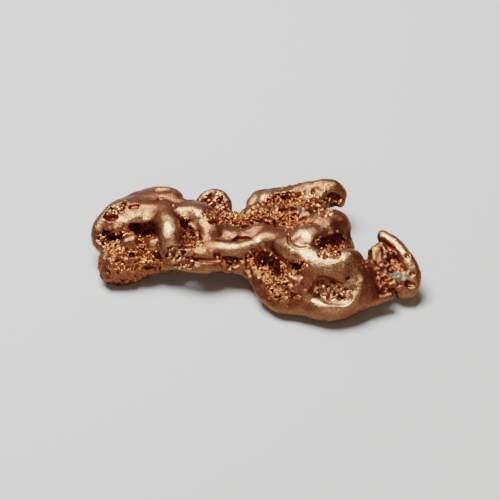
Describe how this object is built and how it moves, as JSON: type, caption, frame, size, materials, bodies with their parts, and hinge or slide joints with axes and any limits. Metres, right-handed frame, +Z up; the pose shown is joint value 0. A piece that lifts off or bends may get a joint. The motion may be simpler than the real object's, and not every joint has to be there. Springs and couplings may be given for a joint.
{
  "type": "native copper nugget",
  "caption": "Natural native copper nugget: worn rounded ridges over rough crystalline hollows, with a curled back lobe, a small knob and a hooked horn.",
  "frame": {"origin": "on the ground, under the middle of the nugget's box", "axes": "+X along the nugget's length from the left lobe to the horn, +Y to the back, +Z up"},
  "size_m": [0.0654, 0.033, 0.0127],
  "materials": {
    "native_copper": "native copper, ridges worn to a satin polish, rough sparkling crystals in the hollows, small spots of grey-green patina"
  },
  "bodies": {
    "root": {"nugget": "native_copper"}
  },
  "joints": []
}
